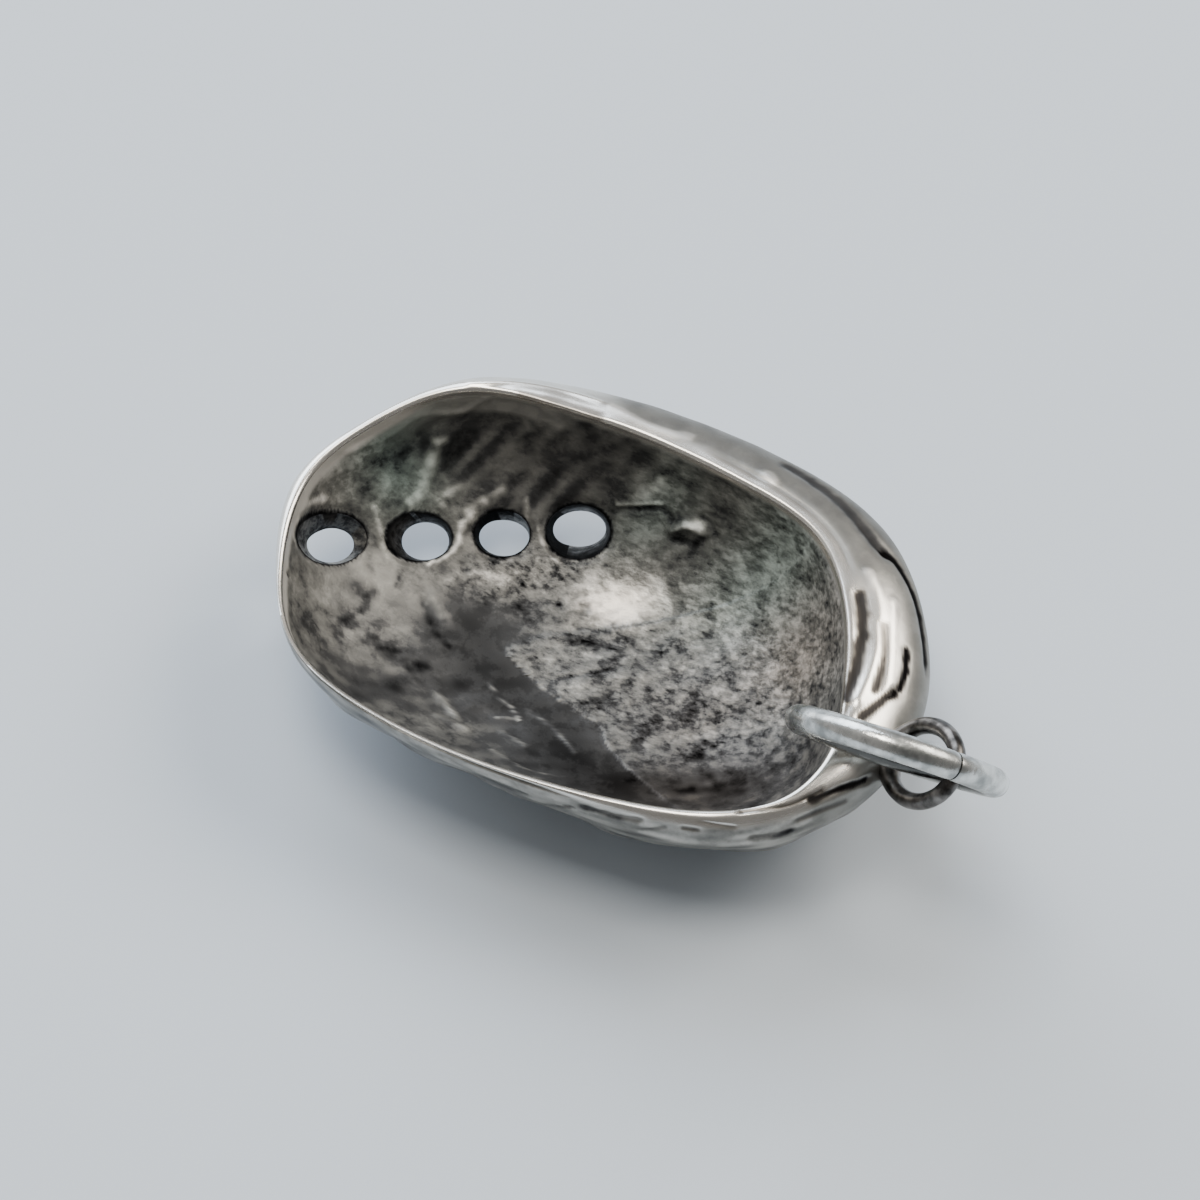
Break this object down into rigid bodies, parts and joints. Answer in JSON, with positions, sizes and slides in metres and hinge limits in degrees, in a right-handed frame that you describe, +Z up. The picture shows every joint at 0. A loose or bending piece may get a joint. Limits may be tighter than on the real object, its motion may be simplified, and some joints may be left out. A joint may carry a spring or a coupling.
{
  "type": "cast silver abalone shell pendant",
  "caption": "Small silver pendant cast as an open abalone shell with a row of pores, a thick band at the spire's end, and a jump ring swinging on a soldered eye.",
  "frame": {"origin": "on the table, on the worn flat of the shell's back, below the middle of the hollow", "axes": "+X along the shell to the end with the ring, +Y to the side with the wide band, +Z up out of the hollow"},
  "size_m": [0.0286, 0.0164, 0.0132],
  "materials": {
    "oxidised_silver": "cast silver, oxidised dark in the hollows and rubbed bright on the rim",
    "tarnished_wire": "tarnished silver wire with solder",
    "polished_silver": "polished silver wire"
  },
  "bodies": {
    "body": {"shell": "oxidised_silver", "eye": "tarnished_wire"},
    "ring": {"jump_ring": "polished_silver"}
  },
  "joints": [
    {"name": "ring_swing", "type": "hinge", "parent": "body", "child": "ring", "pos_m": [0.01499, -0.00333, 0.00791], "axis": [-0.0729, 0.8984, 0.433], "range_deg": [0, 165]}
  ]
}
